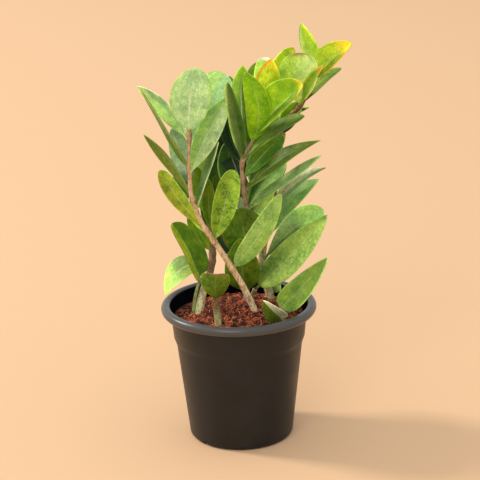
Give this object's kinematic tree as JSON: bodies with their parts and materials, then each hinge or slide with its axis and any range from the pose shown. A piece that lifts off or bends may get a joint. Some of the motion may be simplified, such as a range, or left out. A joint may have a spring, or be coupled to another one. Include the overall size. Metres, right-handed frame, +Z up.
{
  "type": "potted zz plant",
  "caption": "Young ZZ plant with leaning fronds of thick oval leaflets, rooted in coir potting mix in a tapered black nursery pot with a rolled lip",
  "frame": {"origin": "on the surface the pot stands on, at the middle of its round base", "axes": "+Z up, -Y towards the front side that the picture shows, +X to the right of it"},
  "size_m": [0.1768, 0.1593, 0.3435],
  "materials": {
    "pot_plastic": "black moulded plastic, matte with a soft sheen",
    "coir": "reddish-brown coir dust and fibre, dry and crumbly",
    "rhizome": "pale brown tuber skin, dull",
    "leaf_front": "waxy leaflet, light grey-green",
    "leaf_back_left": "waxy leaflet, mid green",
    "leaf_centre": "waxy leaflet, olive to yellow-green",
    "leaf_back_right": "waxy leaflet, grey-green to bright yellow-green",
    "leaf_sprout": "waxy leaflet, dark olive",
    "leaf_shoot_left": "waxy leaflet, deep green",
    "leaf_shoot_centre": "waxy leaflet, light olive green",
    "leaf_shoot_right": "waxy leaflet, light green"
  },
  "bodies": {
    "root": {"pot": "pot_plastic", "soil": "coir", "rhizomes": "rhizome", "frond_front": "leaf_front", "frond_back_left": "leaf_back_left", "frond_centre": "leaf_centre", "frond_back_right": "leaf_back_right", "sprout_front": "leaf_sprout", "shoot_left": "leaf_shoot_left", "shoot_centre": "leaf_shoot_centre", "shoot_right": "leaf_shoot_right"}
  },
  "joints": []
}
